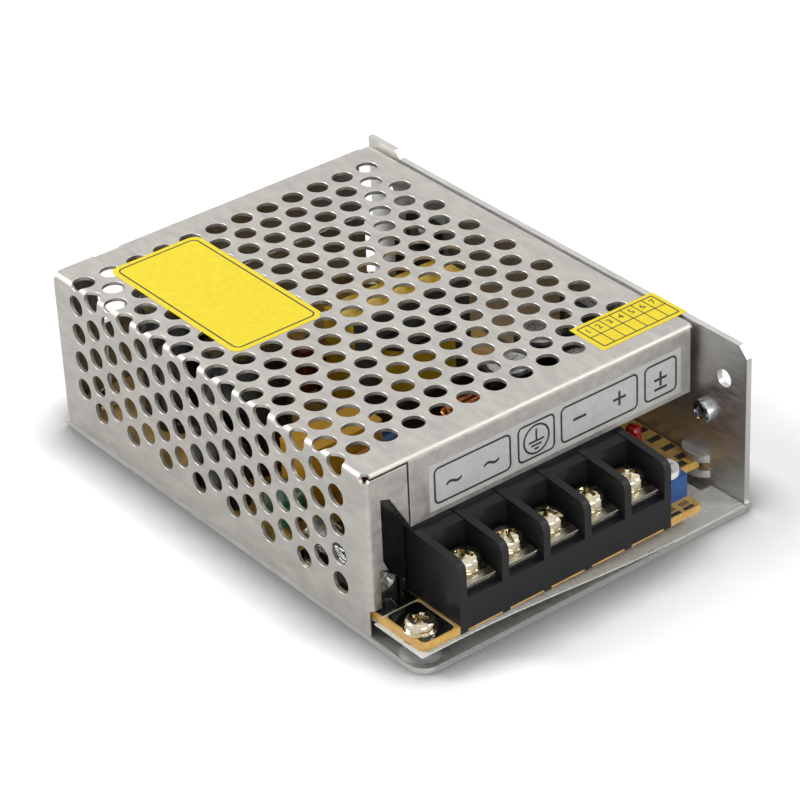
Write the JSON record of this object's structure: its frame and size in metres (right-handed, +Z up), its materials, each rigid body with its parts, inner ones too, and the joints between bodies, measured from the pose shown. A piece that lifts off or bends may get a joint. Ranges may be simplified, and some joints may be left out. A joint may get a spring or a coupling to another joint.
{
  "type": "mesh case switching power supply",
  "caption": "Low rectangular power converter in a perforated folded metal case, with an open front shelf that carries a barrier terminal block and screw terminals.",
  "frame": {"origin": "centre of the footprint on the underside of the bottom plate", "axes": "+Z up, -Y towards the terminal block, +X towards the plain right wall"},
  "size_m": [0.0781, 0.11, 0.036],
  "materials": {
    "black_epoxy": "moulded epoxy",
    "black_phenolic": "moulded",
    "black_sheet": "glossy black polycarbonate sheet",
    "black_sleeve": "shrink sleeve over an aluminium can",
    "block_plastic": "moulded black polyester",
    "blue_epoxy": "dipped epoxy",
    "blue_plastic": "moulded",
    "board_laminate": "paper phenolic laminate under clear lacquer",
    "brown_epoxy": "dipped epoxy",
    "chassis_aluminium": "mill finish folded sheet",
    "clear_film": "clear polyester film",
    "cover_steel": "zinc plated steel sheet, satin",
    "enamelled_copper": "enamelled copper wire",
    "ferrite": "sintered ferrite",
    "glass_tube": "glass tube with plated caps",
    "green_epoxy": "dipped lacquer",
    "grey_cement": "cement coating",
    "grey_label": "printed marking strip",
    "grey_silicone": "silicone pad",
    "iron_powder": "painted iron powder ring",
    "nickel_steel": "bright nickel plated steel",
    "red_lens": "diffused epoxy lens",
    "resistor_lacquer": "lacquer with colour rings",
    "tinned_brass": "tin plated",
    "white_epoxy": "moulded epoxy",
    "white_plastic": "moulded",
    "winding_tape": "yellow polyester tape",
    "yellow_box": "moulded box",
    "yellow_label": "printed vinyl label",
    "zinc_steel": "zinc plated"
  },
  "bodies": {
    "case": {"bridge_rectifier": "black_epoxy", "bulk_capacitor_1": "black_sleeve", "bulk_capacitor_2": "black_sleeve", "chassis": "chassis_aluminium", "choke_base": "black_phenolic", "choke_core": "ferrite", "choke_windings": "enamelled_copper", "circuit_board": "board_laminate", "controller_ic": "black_epoxy", "cover": "cover_steel", "cover_screws": "zinc_steel", "fuse": "glass_tube", "fuse_clips": "tinned_brass", "indicator_led": "red_lens", "inductor_core": "iron_powder", "inductor_winding": "enamelled_copper", "insulating_film": "clear_film", "insulating_pads": "grey_silicone", "insulation_barrier": "black_sheet", "marking_strip": "grey_label", "mosfet": "black_epoxy", "optocoupler": "white_epoxy", "output_capacitor_1": "black_sleeve", "output_capacitor_2": "black_sleeve", "output_capacitor_3": "black_sleeve", "output_capacitor_4": "black_sleeve", "output_rectifier": "black_epoxy", "pcb_screws": "nickel_steel", "pcb_standoffs": "zinc_steel", "power_resistors": "grey_cement", "resistors": "resistor_lacquer", "small_diodes": "black_epoxy", "snubber_capacitor": "brown_epoxy", "sticker_large": "yellow_label", "sticker_small": "yellow_label", "supply_capacitor": "black_sleeve", "terminal_block": "block_plastic", "terminal_contacts": "tinned_brass", "thermistor": "green_epoxy", "transformer_bobbin": "black_phenolic", "transformer_core": "ferrite", "transformer_tape": "winding_tape", "transformer_winding": "winding_tape", "transistor_screws": "zinc_steel", "trimmer_body": "blue_plastic", "wall_screw": "nickel_steel", "x_capacitor": "yellow_box", "y_capacitors": "blue_epoxy"},
    "clamp_1": {"wire_clamp_1": "nickel_steel"},
    "screw_1": {"terminal_screw_1": "nickel_steel"},
    "clamp_2": {"wire_clamp_2": "nickel_steel"},
    "screw_2": {"terminal_screw_2": "nickel_steel"},
    "clamp_3": {"wire_clamp_3": "nickel_steel"},
    "screw_3": {"terminal_screw_3": "nickel_steel"},
    "clamp_4": {"wire_clamp_4": "nickel_steel"},
    "screw_4": {"terminal_screw_4": "nickel_steel"},
    "clamp_5": {"wire_clamp_5": "nickel_steel"},
    "screw_5": {"terminal_screw_5": "nickel_steel"},
    "trimmer_dial": {"trimmer_rotor": "white_plastic"}
  },
  "joints": [
    {"name": "clamp_1_lift", "type": "slide", "parent": "case", "child": "clamp_1", "axis": [0, 0, 1], "range_m": [0, 0.003]},
    {"name": "screw_1_turn", "type": "hinge", "parent": "clamp_1", "child": "screw_1", "pos_m": [-0.02385, -0.0489, 0.014], "axis": [0, 0, 1], "range_deg": [0, 1805]},
    {"name": "clamp_2_lift", "type": "slide", "parent": "case", "child": "clamp_2", "axis": [0, 0, 1], "range_m": [0, 0.003]},
    {"name": "screw_2_turn", "type": "hinge", "parent": "clamp_2", "child": "screw_2", "pos_m": [-0.01435, -0.0489, 0.014], "axis": [0, 0, 1], "range_deg": [0, 1805]},
    {"name": "clamp_3_lift", "type": "slide", "parent": "case", "child": "clamp_3", "axis": [0, 0, 1], "range_m": [0, 0.003]},
    {"name": "screw_3_turn", "type": "hinge", "parent": "clamp_3", "child": "screw_3", "pos_m": [-0.00485, -0.0489, 0.014], "axis": [0, 0, 1], "range_deg": [0, 1805]},
    {"name": "clamp_4_lift", "type": "slide", "parent": "case", "child": "clamp_4", "axis": [0, 0, 1], "range_m": [0, 0.003]},
    {"name": "screw_4_turn", "type": "hinge", "parent": "clamp_4", "child": "screw_4", "pos_m": [0.00465, -0.0489, 0.014], "axis": [0, 0, 1], "range_deg": [0, 1805]},
    {"name": "clamp_5_lift", "type": "slide", "parent": "case", "child": "clamp_5", "axis": [0, 0, 1], "range_m": [0, 0.003]},
    {"name": "screw_5_turn", "type": "hinge", "parent": "clamp_5", "child": "screw_5", "pos_m": [0.01415, -0.0489, 0.014], "axis": [0, 0, 1], "range_deg": [0, 1805]},
    {"name": "trimmer_turn", "type": "hinge", "parent": "case", "child": "trimmer_dial", "pos_m": [0.0243, -0.0472, 0.011], "axis": [0, 0, 1], "range_deg": [-135, 135]}
  ],
  "couplings": [
    {"joint": "screw_1_turn", "follows": "clamp_1_lift", "rad_per_m": 10472},
    {"joint": "screw_2_turn", "follows": "clamp_2_lift", "rad_per_m": 10472},
    {"joint": "screw_3_turn", "follows": "clamp_3_lift", "rad_per_m": 10472},
    {"joint": "screw_4_turn", "follows": "clamp_4_lift", "rad_per_m": 10472},
    {"joint": "screw_5_turn", "follows": "clamp_5_lift", "rad_per_m": 10472}
  ]
}
